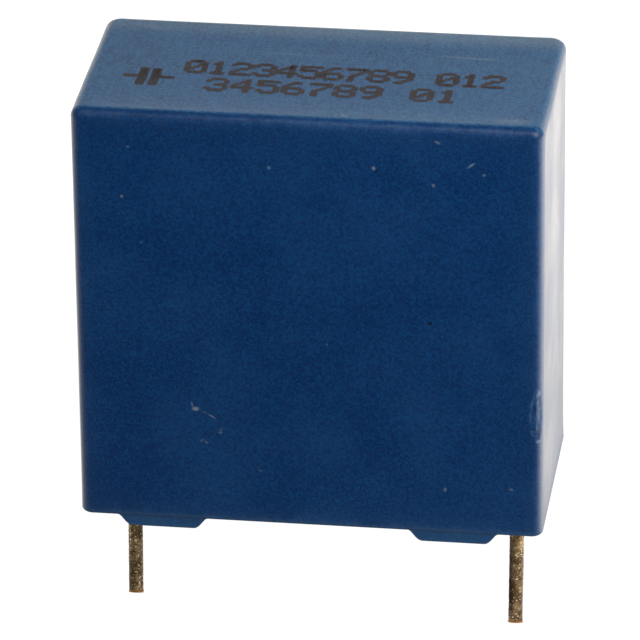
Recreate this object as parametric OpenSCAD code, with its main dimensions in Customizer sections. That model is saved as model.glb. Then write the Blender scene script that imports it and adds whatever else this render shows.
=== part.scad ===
// Box film capacitor with two wire leads, in millimetres.
// The origin lies midway between the leads, on the plane that the feet stand on.
// X runs along the row of leads, Y from front to back, and the leads point down, along -Z.

/* [Leads] */
// Spacing of the leads, centre to centre
lead_pitch = 15; // [7.5:0.5:27.5]
// Diameter of the lead wire
lead_d = 0.6; // [0.5:0.02:0.8]
// Length of the left lead below the feet
lead_left_len = 5.3; // [2:0.1:30]
// Length of the right lead below the feet
lead_right_len = 5.7; // [2:0.1:30]
// How far the round wire runs up past the rim of the box
lead_round_rise = 0.1; // [0.05:0.05:0.3]
// Height over which the wire tapers from round to flat
lead_taper_h = 0.6; // [0.3:0.1:1]
// Thickness of the flattened end of the wire
lead_flat_t = 0.36; // [0.25:0.01:0.45]
// Distance from the flattened end up to the top of the winding
lead_top_margin = 3; // [1:0.5:6]

/* [Box] */
// Thickness of the box, front to back
box_t = 8.9; // [6:0.1:14]
// Height of the box above its feet
box_h = 17.05; // [10:0.05:26]
// Distance from the centre of a lead to the end of the box
box_end_margin = 1.4; // [1.15:0.05:4]
// Thickness of the side and end walls
wall = 0.8; // [0.5:0.05:1]
// Thickness of the roof
roof_t = 0.9; // [0.5:0.05:2]
// Radius of the upright and the top outer edges
edge_r = 0.45; // [0.2:0.05:1]
// Radius of the outer edge at the rim
rim_r = 0.2; // [0.05:0.05:0.4]
// Radius of the upright corners inside the box
cavity_r = 0.3; // [0.1:0.05:0.6]

/* [Feet] */
// Height of the feet
foot_h = 0.45; // [0.3:0.05:1.5]
// Length of a foot where it leaves the rim
foot_l = 3.35; // [1.5:0.05:5]
// Thickness of a foot
foot_t = 0.65; // [0.4:0.05:1]
// How far each end of a foot slopes in
foot_slope = 0.35; // [0.1:0.05:0.6]
// How far a foot is set back from the face of the box
foot_setback = 0.1; // [0.05:0.05:0.2]
// Distance from the left end of the box to its left front foot
foot_left_inset = 1.5; // [0.5:0.05:3]
// Distance from the right end of the box to its right front foot
foot_right_inset = 1.75; // [0.5:0.05:3]

/* [Winding] */
// Epoxy between the winding and each side wall
wind_side_gap = 0.35; // [0.2:0.05:1]
// Epoxy between the winding and the roof
wind_roof_gap = 0.3; // [0.2:0.05:1]
// Thickness of the epoxy seal below the winding
seal_h = 1.2; // [0.8:0.1:3]
// Thickness of the sprayed metal on each end of the winding
spray_t = 0.4; // [0.2:0.05:0.8]

/* [Epoxy] */
// How far the face of the epoxy lies inside the rim
resin_recess = 0.15; // [0.1:0.05:0.6]
// Clearance that keeps the epoxy off what it is cast round
resin_clear = 0.05; // [0.02:0.01:0.1]

/* [Hidden] */
$fn = 64;

box_l = lead_pitch + 2 * box_end_margin;
cavity_l = box_l - 2 * wall;
cavity_t = box_t - 2 * wall;
roof_z = foot_h + box_h - roof_t;
resin_z = foot_h + resin_recess;

// The winding fills the height between the seal and the roof
wind_t = cavity_t - 2 * wind_side_gap;
wind_z0 = resin_z + seal_h;
wind_z1 = roof_z - wind_roof_gap;

// The leads lie flat on the sprayed ends, so the film is as wide as the room between them
film_w = lead_pitch - lead_d - 2 * spray_t;
spray_x = film_w / 2 + spray_t;

// Flattening the wire keeps the area of its section
lead_flat_w = PI * pow(lead_d, 2) / 4 / lead_flat_t;
lead_round_z = foot_h + lead_round_rise;
lead_flat_z = lead_round_z + lead_taper_h;
lead_top_z = wind_z1 - lead_top_margin;

// A foot is rooted this far up inside the wall
foot_root = rim_r + 0.2;
// Length by which cuts and blended solids run past each other
past = 0.02;

// A rectangle on the X axis, with its own radius for the two upper and the two lower corners
module soft_rect(w, h, upper_r, lower_r) {
    translate([-w / 2, lower_r]) square([w, h - upper_r - lower_r]);
    translate([-w / 2 + upper_r, h / 2]) square([w - 2 * upper_r, h / 2]);
    translate([-w / 2 + lower_r, 0]) square([w - 2 * lower_r, h / 2]);
    for (side = [-1, 1]) {
        translate([side * (w / 2 - upper_r), h - upper_r]) circle(upper_r);
        translate([side * (w / 2 - lower_r), lower_r]) circle(lower_r);
    }
}

// The box as a solid block: its plan, front and end outlines crossed, so every edge is rounded
module box_block() {
    translate([0, 0, foot_h])
    intersection() {
        translate([0, -box_t / 2, 0])
            linear_extrude(box_h) soft_rect(box_l, box_t, edge_r, edge_r);
        translate([0, box_t / 2, 0]) rotate([90, 0, 0])
            linear_extrude(box_t) soft_rect(box_l, box_h, edge_r, rim_r);
        translate([-box_l / 2, 0, 0]) rotate([90, 0, 90])
            linear_extrude(box_l) soft_rect(box_t, box_h, edge_r, rim_r);
    }
}

// One foot, from its left end, with its root up inside the wall
module foot() {
    rotate([90, 0, 0])
        linear_extrude(foot_t)
            polygon([[0, foot_root], [0, 0], [foot_slope, -foot_h],
                     [foot_l - foot_slope, -foot_h], [foot_l, 0], [foot_l, foot_root]]);
}

// The two feet under the front wall; the back wall has the same two, turned half round
module front_feet() {
    for (x = [-box_l / 2 + foot_left_inset, box_l / 2 - foot_right_inset - foot_l])
        translate([x, -box_t / 2 + foot_setback + foot_t, foot_h]) foot();
}

module case() {
    color("royalblue")
    difference() {
        union() {
            box_block();
            front_feet();
            rotate([0, 0, 180]) front_feet();
        }
        translate([0, -cavity_t / 2, 0])
            linear_extrude(roof_z) soft_rect(cavity_l, cavity_t, cavity_r, cavity_r);
    }
}

// A slice of the flattened roll between two places along X, grown all round by a clearance
module roll_slice(x0, x1, grow = 0) {
    section_t = wind_t + 2 * grow;
    straight_h = wind_z1 - wind_z0 - wind_t;
    translate([x0, 0, (wind_z0 + wind_z1) / 2]) rotate([90, 0, 90])
        linear_extrude(x1 - x0) {
            square([section_t, straight_h], center = true);
            for (end = [-1, 1])
                translate([0, end * straight_h / 2]) circle(d = section_t);
        }
}

module film_winding() {
    color("gainsboro") roll_slice(-film_w / 2, film_w / 2);
}

module end_spray_left() {
    color("darkgray") roll_slice(-spray_x, -film_w / 2);
}

module end_spray_right() {
    color("darkgray") roll_slice(film_w / 2, spray_x);
}

// A lead on the +X side: round below, flat against the sprayed end above
module lead(length, grow = 0) {
    r = lead_d / 2 + grow;
    flat_size = [lead_flat_t + 2 * grow, lead_flat_w + 2 * grow];
    flat_at = [spray_x - grow, -flat_size.y / 2, lead_flat_z];
    translate([lead_pitch / 2, 0, -length])
        cylinder(r = r, h = length + lead_round_z);
    hull() {
        translate([lead_pitch / 2, 0, lead_round_z - past])
            cylinder(r = r, h = past, $fn = 32);
        translate(flat_at) cube([flat_size.x, flat_size.y, past]);
    }
    translate(flat_at)
        cube([flat_size.x, flat_size.y, lead_top_z - lead_flat_z + grow]);
}

module lead_left() {
    color("silver") mirror([1, 0, 0]) lead(lead_left_len);
}

module lead_right() {
    color("silver") lead(lead_right_len);
}

// Epoxy fills the box, cast round the winding, its sprayed ends and the leads
module potting_resin() {
    color("steelblue")
    difference() {
        translate([0, -cavity_t / 2, resin_z])
            linear_extrude(roof_z - resin_z)
                soft_rect(cavity_l, cavity_t, cavity_r + resin_clear, cavity_r + resin_clear);
        roll_slice(-spray_x - resin_clear, spray_x + resin_clear, resin_clear);
        lead(0, resin_clear);
        mirror([1, 0, 0]) lead(0, resin_clear);
    }
}

case();
potting_resin();
film_winding();
end_spray_left();
end_spray_right();
lead_left();
lead_right();
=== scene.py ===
"""A box film capacitor: moulded case, printed marks, cast epoxy seal, tinned leads and winding."""

import math
import random

import bmesh
import bpy
from mathutils import Matrix, Vector, noise


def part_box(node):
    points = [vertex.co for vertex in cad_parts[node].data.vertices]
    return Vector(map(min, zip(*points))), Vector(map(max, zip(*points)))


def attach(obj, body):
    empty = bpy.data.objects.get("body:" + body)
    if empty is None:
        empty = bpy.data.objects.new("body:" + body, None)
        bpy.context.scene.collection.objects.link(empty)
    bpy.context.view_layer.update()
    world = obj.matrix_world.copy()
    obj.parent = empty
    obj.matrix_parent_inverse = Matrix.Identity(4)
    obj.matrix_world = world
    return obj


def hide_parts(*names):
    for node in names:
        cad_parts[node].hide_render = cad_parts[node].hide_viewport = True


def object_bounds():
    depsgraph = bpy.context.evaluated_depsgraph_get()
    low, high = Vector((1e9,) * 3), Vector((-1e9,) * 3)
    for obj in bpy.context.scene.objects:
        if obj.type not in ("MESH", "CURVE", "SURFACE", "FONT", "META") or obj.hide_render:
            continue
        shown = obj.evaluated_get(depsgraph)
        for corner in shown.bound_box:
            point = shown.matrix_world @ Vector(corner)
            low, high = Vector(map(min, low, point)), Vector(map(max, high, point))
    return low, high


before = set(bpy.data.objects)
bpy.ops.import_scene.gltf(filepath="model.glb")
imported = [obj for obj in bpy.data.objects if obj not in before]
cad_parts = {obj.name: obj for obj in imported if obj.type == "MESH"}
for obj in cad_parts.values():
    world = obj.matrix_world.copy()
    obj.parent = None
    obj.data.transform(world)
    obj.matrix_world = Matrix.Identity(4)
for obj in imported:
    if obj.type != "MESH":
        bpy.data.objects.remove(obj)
cad_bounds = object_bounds()

MM = 0.001

# ---- Sizes, in millimetres


def node_box(node):
    """The lowest and highest corner of a CAD node, in millimetres."""
    low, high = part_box(node)
    return Vector(low) / MM, Vector(high) / MM


CASE_LOW, CASE_HIGH = node_box("case")
HALF_L = CASE_HIGH.x
HALF_T = CASE_HIGH.y
TOP_Z = CASE_HIGH.z

FOOT_H = 0.45
RIM_Z = CASE_LOW.z + FOOT_H
WALL = 0.8
ROOF = 0.9
EDGE_R = 0.45
# The two upright edges at the back are this much rounder
BACK_SOFTER = 0.2
RIM_R = 0.2
CAVITY_R = 0.3

FOOT_L = 3.35
FOOT_T = 0.65
FOOT_SLOPE = 0.35
FOOT_SETBACK = 0.1
FOOT_LEFT_INSET = 1.5
FOOT_RIGHT_INSET = 1.75
FOOT_EDGE_R = 0.08

# The flat part of each outer wall runs between the corner arcs
FLAT_X = HALF_L - EDGE_R
FLAT_Y = HALF_T - EDGE_R

# Half the length of the arc round an outer edge
HALF_ARC = EDGE_R * math.pi / 4

FLOOR_Z = cad_bounds[0][2] / MM

# Points closer than this become one
WELD = 0.002


# ---- Mesh helpers


def spread(start, stop, step):
    """Evenly spaced values from start to stop, no further apart than step."""
    count = max(1, math.ceil(abs(stop - start) / step - 1e-6))
    return [start + (stop - start) * i / count for i in range(count + 1)]


def merged(*groups, closest=0.02):
    """All values of several lists in order, without any that nearly repeat."""
    kept = []
    for value in sorted(v for group in groups for v in group):
        if not kept or value - kept[-1] > closest:
            kept.append(value)
    return kept


def mesh_object(name, points, faces, material, smooth=True, **layers):
    """A piece from points in millimetres; each layer given holds one value for every point."""
    mesh = bpy.data.meshes.new(name)
    mesh.from_pydata([tuple(p[i] * MM for i in range(3)) for p in points], [], faces)
    for layer_name, values in layers.items():
        layer = mesh.attributes.new(layer_name, "FLOAT", "POINT")
        layer.data.foreach_set("value", values)
    bm = bmesh.new()
    bm.from_mesh(mesh)
    bmesh.ops.remove_doubles(bm, verts=bm.verts, dist=WELD * MM)
    bmesh.ops.recalc_face_normals(bm, faces=bm.faces)
    bm.to_mesh(mesh)
    bm.free()
    for polygon in mesh.polygons:
        polygon.use_smooth = smooth
    mesh.materials.append(material)
    piece = bpy.data.objects.new(name, mesh)
    bpy.context.scene.collection.objects.link(piece)
    return piece


def loft(rings):
    """Points and faces of a tube through closed rings with equal numbers of points."""
    size = len(rings[0])
    points = [p for ring in rings for p in ring]
    faces = []
    for k in range(len(rings) - 1):
        for j in range(size):
            n = (j + 1) % size
            faces.append((k * size + j, k * size + n, (k + 1) * size + n, (k + 1) * size + j))
    return points, faces


# ---- Shader helpers


def new_group(name, inputs, outputs):
    """An empty shader node group with named inputs (name, kind, default) and outputs (name, kind)."""
    group = bpy.data.node_groups.new(name, "ShaderNodeTree")
    for socket_name, kind, default in inputs:
        socket = group.interface.new_socket(socket_name, in_out="INPUT", socket_type=kind)
        if default is not None:
            socket.default_value = default
    for socket_name, kind in outputs:
        group.interface.new_socket(socket_name, in_out="OUTPUT", socket_type=kind)
    return group, group.nodes.new("NodeGroupInput"), group.nodes.new("NodeGroupOutput")


class Shop:
    """Makes and wires the nodes of one material or node group."""

    def __init__(self, tree):
        self.tree = tree

    def put(self, socket, value):
        """Wires a socket to value, or sets it to value."""
        if isinstance(value, bpy.types.NodeSocket):
            self.tree.links.new(value, socket)
        elif value is not None:
            socket.default_value = value

    def node(self, kind, inputs=(), **settings):
        """A node with some of its settings and inputs filled in."""
        made = self.tree.nodes.new(kind)
        for key, value in settings.items():
            setattr(made, key, value)
        for key, value in dict(inputs).items():
            self.put(made.inputs[key], value)
        return made

    def math(self, operation, a, b=None, c=None, clamp=False):
        made = self.node("ShaderNodeMath", operation=operation, use_clamp=clamp)
        for socket, value in zip(made.inputs, (a, b, c)):
            self.put(socket, value)
        return made.outputs[0]

    def vector(self, operation, a, b=None, scale=None):
        made = self.node("ShaderNodeVectorMath", operation=operation)
        self.put(made.inputs[0], a)
        self.put(made.inputs[1], b)
        if scale is not None:
            self.put(made.inputs["Scale"], scale)
        return made.outputs["Value" if operation in ("LENGTH", "DISTANCE", "DOT_PRODUCT") else "Vector"]

    def ramp(self, value, low, high, to_low=0.0, to_high=1.0):
        """A smooth change from to_low, where value is low, to to_high, where it is high."""
        made = self.node("ShaderNodeMapRange", interpolation_type="SMOOTHSTEP")
        for key, item in (("Value", value), ("From Min", low), ("From Max", high),
                          ("To Min", to_low), ("To Max", to_high)):
            self.put(made.inputs[key], item)
        return made.outputs["Result"]

    def mix(self, amount, a, b):
        """Colour a, and colour b by amount."""
        made = self.node("ShaderNodeMix", data_type="RGBA")
        for key, item in ((0, amount), (6, a), (7, b)):
            self.put(made.inputs[key], item)
        return made.outputs[2]

    def noise(self, vector, scale, detail=2.0, roughness=0.5):
        inputs = {"Vector": vector, "Scale": scale, "Detail": detail, "Roughness": roughness}
        return self.node("ShaderNodeTexNoise", inputs).outputs["Fac"]

    def bump(self, height, strength, depth):
        """A normal from a height, with its depth in millimetres."""
        inputs = {"Strength": strength, "Distance": depth * MM, "Height": height}
        return self.node("ShaderNodeBump", inputs).outputs[0]

    def parts(self, vector):
        """The X, Y and Z of a vector."""
        return self.node("ShaderNodeSeparateXYZ", {"Vector": vector}).outputs

    def layer(self, name):
        """The values that a piece's mesh carries under that name."""
        return self.node("ShaderNodeAttribute", attribute_name=name).outputs["Fac"]

    def group(self, group, **inputs):
        made = self.node("ShaderNodeGroup", node_tree=group)
        for key, item in inputs.items():
            self.put(made.inputs[key.replace("_", " ")], item)
        return made


def millimetres(shop):
    """The piece's own coordinates, in millimetres."""
    place = shop.node("ShaderNodeTexCoord").outputs["Object"]
    return shop.vector("SCALE", place, scale=1 / MM)


def principled(shop, **inputs):
    """The material's surface; a setting that is the same all over is set on its own socket."""
    shader = shop.node("ShaderNodeBsdfPrincipled")
    for key, item in inputs.items():
        shop.put(shader.inputs[key.replace("_", " ")], item)
    output = shop.node("ShaderNodeOutputMaterial")
    shop.tree.links.new(shader.outputs[0], output.inputs["Surface"])
    return shader


def new_material(name):
    material = bpy.data.materials.new(name)
    material.use_nodes = True
    material.node_tree.nodes.clear()
    return material, Shop(material.node_tree)


def colour(red, green, blue):
    return (red, green, blue, 1.0)


# ---- Shared effects


def make_grain():
    """Fine uneven grain: a height, and a slower cloud for tone."""
    group, source, result = new_group(
        "fine grain",
        [("Place", "NodeSocketVector", None), ("Size", "NodeSocketFloat", 0.1),
         ("Cloud Size", "NodeSocketFloat", 3.0)],
        [("Height", "NodeSocketFloat"), ("Cloud", "NodeSocketFloat")])
    shop = Shop(group)
    given = source.outputs
    fine = shop.noise(given["Place"], shop.math("DIVIDE", 1.0, given["Size"]), 3.0, 0.6)
    slow = shop.noise(given["Place"], shop.math("DIVIDE", 1.0, given["Cloud Size"]), 2.0, 0.5)
    shop.put(result.inputs["Height"], fine)
    shop.put(result.inputs["Cloud"], slow)
    return group


def make_specks():
    """Small scattered specks, such as dust, as a mask."""
    group, source, result = new_group(
        "specks",
        [("Place", "NodeSocketVector", None), ("Spacing", "NodeSocketFloat", 1.0),
         ("Size", "NodeSocketFloat", 0.05), ("Share", "NodeSocketFloat", 0.3)],
        [("Mask", "NodeSocketFloat")])
    shop = Shop(group)
    given = source.outputs
    per_cell = shop.math("DIVIDE", 1.0, given["Spacing"])
    cells = shop.node("ShaderNodeTexVoronoi", {"Vector": given["Place"], "Scale": per_cell},
                      feature="F1").outputs
    lumpy = shop.noise(given["Place"], shop.math("DIVIDE", 1.0, given["Size"]), 2.0)
    distance = shop.math("ADD", shop.math("MULTIPLY", cells["Distance"], given["Spacing"]),
                         shop.math("MULTIPLY", lumpy, given["Size"]))
    # Each cell's own colour picks whether it holds a speck, and how large the speck is
    pick = shop.node("ShaderNodeSeparateColor", {0: cells["Color"]}).outputs
    reach = shop.math("MULTIPLY", given["Size"], shop.math("ADD", pick[1], 0.6))
    spot = shop.ramp(shop.math("DIVIDE", distance, reach), 0.7, 1.3, 1.0, 0.0)
    chosen = shop.math("LESS_THAN", pick[0], given["Share"])
    shop.put(result.inputs["Mask"], shop.math("MULTIPLY", spot, chosen))
    return group


def make_spot():
    """One soft mark with a ragged outline, turned about an axis: 1 in its middle, 0 outside."""
    group, source, result = new_group(
        "one mark",
        [("Place", "NodeSocketVector", None), ("Centre", "NodeSocketVector", None),
         ("Reach", "NodeSocketVector", None), ("Axis", "NodeSocketVector", None),
         ("Turn", "NodeSocketFloat", 0.0), ("Ragged", "NodeSocketFloat", 0.3)],
        [("Mask", "NodeSocketFloat")])
    shop = Shop(group)
    given = source.outputs
    turning = {"Vector": given["Place"], "Center": given["Centre"], "Axis": given["Axis"],
               "Angle": given["Turn"]}
    turned = shop.node("ShaderNodeVectorRotate", turning, rotation_type="AXIS_ANGLE").outputs[0]
    apart = shop.vector("SUBTRACT", turned, given["Centre"])
    distance = shop.vector("LENGTH", shop.vector("DIVIDE", apart, given["Reach"]))
    lumpy = shop.math("SUBTRACT", shop.noise(given["Place"], 9.0, 3.0), 0.5)
    lumpy = shop.math("MULTIPLY", lumpy, given["Ragged"])
    shop.put(result.inputs["Mask"], shop.ramp(shop.math("ADD", distance, lumpy), 0.3, 1.15, 1.0, 0.0))
    return group


GRAIN = make_grain()
SPECKS = make_specks()
SPOT = make_spot()


# ---- Materials

CASE_BLUE = colour(0.0002, 0.0200, 0.0860)
CASE_BLUE_PALE = colour(0.0004, 0.0440, 0.1480)
CASE_BLUE_WARM = colour(0.0014, 0.0250, 0.1130)
# Pale blue: a thin film on the top, partly dust and partly painted light from above; also the painted
# highlight above the feet
CASE_FILM_AND_PAINTED_LIGHT = colour(0.125, 0.45, 0.72)
CASE_SCUFF = colour(0.10, 0.20, 0.32)
CASE_DUST = colour(0.34, 0.38, 0.36)
CASE_WHITENED = colour(0.19, 0.31, 0.42)
# Near black: small dark specks, and painted shade inside the scrape
CASE_GRIME_AND_SHADE = colour(0.002, 0.006, 0.012)
INK_THIN = colour(0.018, 0.036, 0.078)
INK_FULL = colour(0.026, 0.011, 0.007)
TIN_TARNISHED = colour(0.110, 0.067, 0.031)
TIN_DULL = colour(0.275, 0.192, 0.098)
TIN_PIT = colour(0.030, 0.016, 0.007)
# Pale cream on the tops of the tin's lumps: painted glints
TIN_PAINTED_GLINT = colour(0.85, 0.76, 0.56)
CUT_COPPER = colour(0.85, 0.38, 0.13)
EPOXY_DARK = colour(0.012, 0.022, 0.045)
EPOXY_PALE = colour(0.020, 0.034, 0.062)
EPOXY_BUBBLE = colour(0.05, 0.07, 0.10)
FILM_DARK = colour(0.52, 0.53, 0.55)
FILM_PALE = colour(0.78, 0.79, 0.80)
FILM_WARM = colour(0.70, 0.66, 0.58)
ZINC_DARK = colour(0.24, 0.25, 0.26)
ZINC_PALE = colour(0.50, 0.51, 0.52)

PLASTIC_SPECULAR = 0.35
# How strongly the flecks show against the slower clouds, how fine they are, and how patterns stretch
FLECK_SHARE = 0.85
FLECK_SCALE = 10.0
FLECK_STRETCH = (1.0, 0.7, 1.0)
FILM_AND_LIGHT_STRETCH = (1.0, 0.6, 1.0)
STREAK_STRETCH = (9.0, 9.0, 1.6)
TURNS_STRETCH = (0.4, 60.0, 60.0)
# Two places and the share at each: of the pale film, which is partly dust and partly painted light from
# above, and of the dust
FILM_AND_LIGHT_TOWARDS_BACK = (2.4, 4.4, 0.125, 0.150)
SETTLED_TOWARDS_RIGHT = (-6.0, -1.0, 0.20, 0.265)
# A painted highlight: the feet, and a band this high above the rim, are paler
RIM_PAINTED_HIGHLIGHT = 0.050
RIM_PAINTED_HIGHLIGHT_H = 0.35
SPECK_STRENGTH = 0.14

# Marks left by handling, and painted shade inside the scrape: X, height or depth, two half sizes, turn in
# degrees, strength
FRONT_MARKS = [
    (-4.35, 5.20, 0.17, 0.12, 0, 0.42), (-4.48, 5.38, 0.04, 0.14, -15, 0.22),
    (-4.00, 5.06, 0.16, 0.035, 20, 0.16), (-3.71, 4.90, 0.22, 0.04, 32, 0.30),
    (-3.39, 4.36, 0.045, 0.12, 0, 0.16), (-3.42, 4.23, 0.09, 0.05, 0, 0.28),
    (-4.12, 3.86, 0.14, 0.04, -40, 0.14), (-3.96, 3.80, 0.10, 0.05, 40, 0.20),
    (2.53, 15.62, 0.08, 0.10, 0, 0.34), (4.91, 16.81, 0.14, 0.07, 25, 0.24),
    (6.17, 15.92, 0.20, 0.05, -38, 0.30), (4.75, 15.03, 0.08, 0.08, 0, 0.28),
    (6.66, 15.55, 0.09, 0.07, -40, 0.20), (-6.69, 16.04, 0.08, 0.06, 0, 0.24),
    (-1.40, 15.44, 0.07, 0.08, 0, 0.26), (-6.98, 13.98, 0.07, 0.08, 0, 0.30),
    (5.18, 2.31, 0.07, 0.12, 0, 0.22), (7.71, 2.47, 0.09, 0.06, 0, 0.24),
    (-6.30, 12.10, 0.05, 0.05, 0, 0.20), (0.70, 8.20, 0.05, 0.05, 0, 0.16),
    (-1.90, 2.70, 0.06, 0.05, 0, 0.18),
]
SCRAPE_MARKS = [
    (8.73, 6.55, 0.09, 0.22, 8, 0.75), (8.70, 5.92, 0.07, 0.62, 0, 0.26),
    (8.49, 6.15, 0.035, 0.42, 10, 0.16), (8.43, 5.55, 0.05, 0.30, 0, 0.10),
    (8.66, 5.25, 0.04, 0.26, 0, 0.22), (8.74, 4.55, 0.11, 0.09, 0, 0.50),
    (8.50, 5.02, 0.07, 0.05, 0, 0.12),
]
# Dark specks; the last three are painted shade inside the scrape on the right front edge
DARK_MARKS_AND_SHADE = [
    (4.61, 9.31, 0.10, 0.10, 0, 0.9), (2.62, 15.50, 0.14, 0.10, 0, 0.4), (1.90, 16.20, 0.06, 0.06, 0, 0.4),
    (8.60, 5.85, 0.06, 0.30, 0, 0.45), (8.53, 5.10, 0.06, 0.10, 0, 0.6), (8.60, 4.86, 0.05, 0.08, 0, 0.6),
]
TOP_MARKS = [
    (5.6, 1.95, 1.7, 0.12, 3, 0.16), (-1.2, 1.60, 2.6, 0.12, 2, 0.08), (1.30, -3.75, 0.05, 0.38, -25, 0.30),
    (7.60, -3.65, 0.75, 0.28, 0, 0.16), (4.30, -3.40, 0.30, 0.10, 0, 0.10), (-6.9, 3.5, 0.9, 0.2, 8, 0.10),
]
# How far a mark reaches in from the face that it lies on, and how ragged scuffs and dark marks are
MARK_DEPTH = 0.4
SCUFF_RAGGED = 0.9
DARK_RAGGED = 0.3


def mark_mask(shop, place, marks, on_top, ragged):
    """The strongest of several handling marks at each point of the front or the top."""
    total = 0.0
    for across, along, half_across, half_along, turn, strength in marks:
        spot = shop.group(SPOT, Place=place, Ragged=ragged, Turn=math.radians(turn))
        if on_top:
            centre, reach, axis = (across, along, TOP_Z), (half_across, half_along, MARK_DEPTH), (0, 0, 1)
        else:
            centre, reach, axis = (across, -HALF_T, along), (half_across, MARK_DEPTH, half_along), (0, -1, 0)
        spot.inputs["Centre"].default_value = centre
        spot.inputs["Reach"].default_value = reach
        spot.inputs["Axis"].default_value = axis
        total = shop.math("MAXIMUM", total, shop.math("MULTIPLY", spot.outputs["Mask"], strength))
    return total


def moulded_blue(shop, place, cloud):
    """The plastic's own colour: deep and paler blue in fine flecks, warmer in places."""
    fleck = shop.noise(shop.vector("MULTIPLY", place, FLECK_STRETCH), FLECK_SCALE, 4.0, 0.85)
    tone = shop.math("ADD", shop.math("MULTIPLY", cloud, 1 - FLECK_SHARE),
                     shop.math("MULTIPLY", fleck, FLECK_SHARE))
    base = shop.mix(shop.ramp(tone, 0.42, 0.58), CASE_BLUE, CASE_BLUE_PALE)
    warm = shop.ramp(shop.noise(place, 6.0, 3.0, 0.8), 0.50, 0.68, 0.0, 0.7)
    return shop.mix(warm, base, CASE_BLUE_WARM)


def film_dust_and_painted_light(shop, base, place):
    """A thin pale film on what faces up, partly dust and partly painted light from above, dust settled along
    the back edge, and a painted highlight in a pale band above the feet.
    """
    facing = shop.parts(shop.node("ShaderNodeNewGeometry").outputs["Normal"])
    where = shop.parts(place)
    # The film and its painted light also reach over the rounded edges at the two ends
    upward = shop.math("MULTIPLY_ADD", shop.math("ABSOLUTE", facing["X"]), 0.55, facing["Z"])
    film = shop.math("MULTIPLY", shop.ramp(upward, 0.93, 1.0), shop.ramp(where["Y"], *FILM_AND_LIGHT_TOWARDS_BACK))
    patches = shop.noise(shop.vector("MULTIPLY", place, FILM_AND_LIGHT_STRETCH), FLECK_SCALE, 5.0, 0.9)
    film = shop.math("MULTIPLY", film, shop.ramp(patches, 0.36, 0.64, 0.1, 1.9))
    # Painted light from above: the top and the upper end edges turn paler under the film
    base = shop.mix(film, base, CASE_FILM_AND_PAINTED_LIGHT)
    thickest = shop.ramp(where["X"], *SETTLED_TOWARDS_RIGHT)
    settled = shop.math("MULTIPLY", shop.ramp(facing["Z"], 0.70, 0.95),
                        shop.ramp(where["Y"], 2.6, 4.1, 0.0, thickest))
    base = shop.mix(settled, base, CASE_DUST)
    # Painted highlight: paler blue on the feet, fading out in a band above the rim
    rim_highlight = shop.ramp(where["Z"], FOOT_H, FOOT_H + RIM_PAINTED_HIGHLIGHT_H, RIM_PAINTED_HIGHLIGHT, 0.0)
    return shop.mix(rim_highlight, base, CASE_FILM_AND_PAINTED_LIGHT)


def edge_wear(shop, place, edge):
    """Paler plastic in patches along the edges and in streaks round the scrape."""
    patchy = shop.ramp(shop.noise(place, 2.2, 5.0, 0.7), 0.35, 0.75, 0.02, 0.16)
    streak = shop.noise(shop.vector("MULTIPLY", place, STREAK_STRETCH), 1.0, 3.0, 0.6)
    streaks = shop.math("MULTIPLY", shop.layer("scrape"), shop.ramp(streak, 0.36, 0.62, 0.25, 0.85))
    return shop.math("MAXIMUM", shop.math("MULTIPLY", edge, patchy), streaks)


def rim_edge(shop, place):
    """The duller rounded edge of the rim, where the mould parts."""
    height = shop.parts(place)["Z"]
    return shop.math("MULTIPLY", shop.ramp(height, FOOT_H - 0.04, FOOT_H + 0.01),
                     shop.ramp(height, FOOT_H + 0.10, FOOT_H + 0.20, 1.0, 0.0))


def case_material():
    """Satin blue moulded plastic with a fine eroded grain, a little dust and light handling marks, painted
    light that makes the top paler, a painted highlight above the feet and painted shade inside the scrape.
    """
    material, shop = new_material("case_blue_plastic")
    place = millimetres(shop)
    grain = shop.group(GRAIN, Place=place, Size=0.07, Cloud_Size=2.6).outputs
    edge = shop.layer("edge")
    worn = edge_wear(shop, place, edge)
    specks = shop.group(SPECKS, Place=place, Spacing=1.5, Size=0.035, Share=0.20).outputs["Mask"]
    scuffs = shop.math("MAXIMUM", mark_mask(shop, place, FRONT_MARKS, False, SCUFF_RAGGED),
                       mark_mask(shop, place, TOP_MARKS, True, SCUFF_RAGGED))
    base = film_dust_and_painted_light(shop, moulded_blue(shop, place, grain["Cloud"]), place)
    base = shop.mix(worn, base, CASE_SCUFF)
    marks = shop.math("MAXIMUM", shop.math("MULTIPLY", specks, SPECK_STRENGTH), scuffs)
    base = shop.mix(marks, base, CASE_DUST)
    base = shop.mix(mark_mask(shop, place, SCRAPE_MARKS, False, SCUFF_RAGGED), base, CASE_WHITENED)
    # Dark specks, and painted shade inside the scrape
    base = shop.mix(mark_mask(shop, place, DARK_MARKS_AND_SHADE, False, DARK_RAGGED), base, CASE_GRIME_AND_SHADE)
    rough = shop.ramp(grain["Cloud"], 0.3, 0.7, 0.27, 0.33)
    rough = shop.math("MULTIPLY_ADD", edge, 0.10, rough)
    rough = shop.math("MULTIPLY_ADD", shop.math("MAXIMUM", scuffs, worn), 0.3, rough, clamp=True)
    rough = shop.math("MULTIPLY_ADD", rim_edge(shop, place), 0.45, rough, clamp=True)
    principled(shop, Base_Color=base, Roughness=rough, Normal=shop.bump(grain["Height"], 0.8, 0.004),
               Specular_IOR_Level=PLASTIC_SPECULAR)
    return material


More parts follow.
